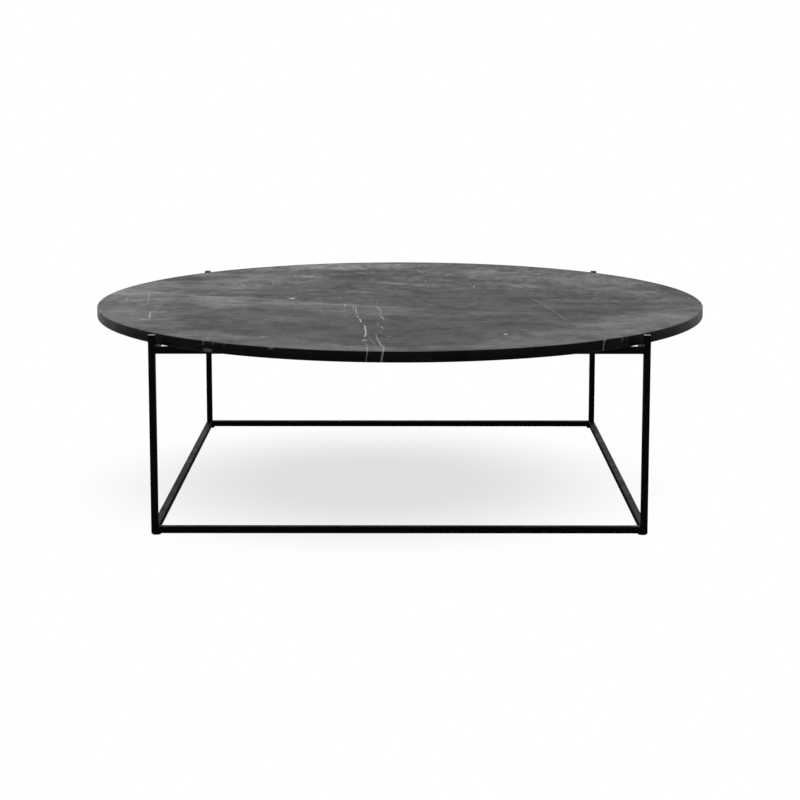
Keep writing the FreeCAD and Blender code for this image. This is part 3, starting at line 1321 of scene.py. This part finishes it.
@dataclass
class Studio:
    """Pale floor, soft light and the camera."""

    lens: float = 77.417
    sensor: float = 36.0
    shift_up: float = -0.17
    camera_reach: float = 2.853
    camera_height: float = 0.7187
    camera_orbit_deg: float = 0.15
    camera_dip_deg: float = 7.178
    floor_half: float = 30.0
    floor_shade: float = 0.50
    floor_roughness: float = 0.9
    floor_shadow_share: float = 0.272
    shadow_centre: Triple = (-0.05, -0.05, 0.0)
    shadow_oval: Triple = (1.0, 1.15, 1.0)
    shadow_span: Span = (0.12, 0.56)
    backdrop_span: Span = (0.7, 1.3)
    sky_level: float = 0.32
    lamp_side: float = 2.2
    lamp_place: Triple = (0.0, 0.5, 2.4)
    lamp_power: float = 42.0

    def build(self) -> None:
        """Sets up the whole studio."""
        bpy.context.scene.view_settings.view_transform = "Standard"
        self.camera()
        self.world()
        self.floor()
        self.lamp()

    def camera(self) -> None:
        """Camera at the photograph's viewing angle."""
        data = bpy.data.cameras.new("camera")
        data.sensor_width = self.sensor
        data.lens = self.lens
        data.shift_y = self.shift_up
        camera = new_object("camera", data)
        orbit = math.radians(self.camera_orbit_deg)
        reach = self.camera_reach
        camera.location = (reach * math.sin(orbit), -reach * math.cos(orbit), self.camera_height)
        camera.rotation_euler = (math.radians(90.0 - self.camera_dip_deg), 0.0, orbit)
        bpy.context.scene.camera = camera

    @staticmethod
    def seen_rays(board: Board, *kinds: str) -> Socket:
        """Mask of the rays of the named kinds."""
        path = board.add("ShaderNodeLightPath").outputs
        return board.highest(path[f"Is {kind} Ray"] for kind in kinds)

    def world(self) -> None:
        """White background, with plain even light for what it falls on."""
        world = bpy.data.worlds.new("studio")
        world.use_nodes = True
        board = Board(world.node_tree)
        seen = self.seen_rays(board, "Camera", "Glossy", "Transmission")
        level = board.span(seen, 0.0, 1.0, self.sky_level, 1.0)
        board.fill(world.node_tree.nodes["Background"], {"Color": (1.0, 1.0, 1.0, 1.0), "Strength": level})
        bpy.context.scene.world = world

    def floor(self) -> None:
        """Pale floor that keeps the table's shadow, deepened by a painted shadow oval under the table, and
        runs out to white.
        """
        mesh = bpy.data.meshes.new("floor")
        half = self.floor_half
        corners = [(-half, -half, 0), (half, -half, 0), (half, half, 0), (-half, half, 0)]
        mesh.from_pydata(corners, [], [tuple(range(len(corners)))])
        floor = new_object("floor", mesh)
        material, board, shader = new_material("pale_floor")
        mesh.materials.append(material)
        board.fill(shader, {"Base Color": (self.floor_shade,) * 3 + (1.0,), "Roughness": self.floor_roughness,
                            "Specular IOR Level": 0.0})
        white = board.first("ShaderNodeEmission", {"Strength": 1.0})
        lit = self.lit_share(board)
        surface = board.first("ShaderNodeMixShader", {0: lit, 1: white, 2: shader.outputs[0]})
        below = board.add("ShaderNodeNewGeometry").outputs["Backfacing"]
        clear = board.first("ShaderNodeBsdfTransparent")
        surface = board.first("ShaderNodeMixShader", {0: below, 1: surface, 2: clear})
        board.fill(material.node_tree.nodes["Material Output"], {"Surface": surface})

    def lit_share(self, board: Board) -> Socket:
        """Share of the floor's look that its light and shadow give, the rest being plain white.

        Args:
            board: Board of the floor's material.

        Returns:
            The share: all of it for rays that aren't seen, some of it under the table for those that are.
        """
        position = object_position(board)
        offset = board.vector("SUBTRACT", position, self.shadow_centre)
        oval = board.vector("MULTIPLY", offset, self.shadow_oval)
        # Painted shadow: inside the oval the floor shows its darker lit shade instead of plain white, and the
        # table's real shadow deepens it
        painted_shadow = board.span(board.measure("LENGTH", oval), *self.shadow_span, self.floor_shadow_share, 0.0)
        backdrop = board.span(board.part(position, "Y"), *self.backdrop_span)
        mirrored = board.times(self.seen_rays(board, "Glossy"), backdrop)
        seen = board.math("MAXIMUM", self.seen_rays(board, "Camera", "Transmission"), mirrored)
        return board.math("ADD", painted_shadow, board.math("SUBTRACT", 1.0, seen), clamp=True)

    def lamp(self) -> None:
        """Broad soft lamp overhead."""
        data = bpy.data.lights.new("softbox", "AREA")
        data.shape = "SQUARE"
        data.size = self.lamp_side
        data.energy = self.lamp_power
        new_object("softbox", data).location = self.lamp_place


def main() -> None:
    """Builds the table piece by piece, then the studio."""
    logging.basicConfig(level=logging.INFO, format="%(name)s %(message)s")
    effects = Effects()
    trees = Trees()
    coat = POWDER_COAT.material(effects)
    StoneDisc().build(trees, HonedStone().material(effects))
    BarCage().build(trees, coat)
    ClearBumpers().build(trees, ClearFinish().material(effects))
    FootPads().build(trees, PAD_RUBBER.material(effects))
    Studio().build()


if __name__ == "__main__":
    main()
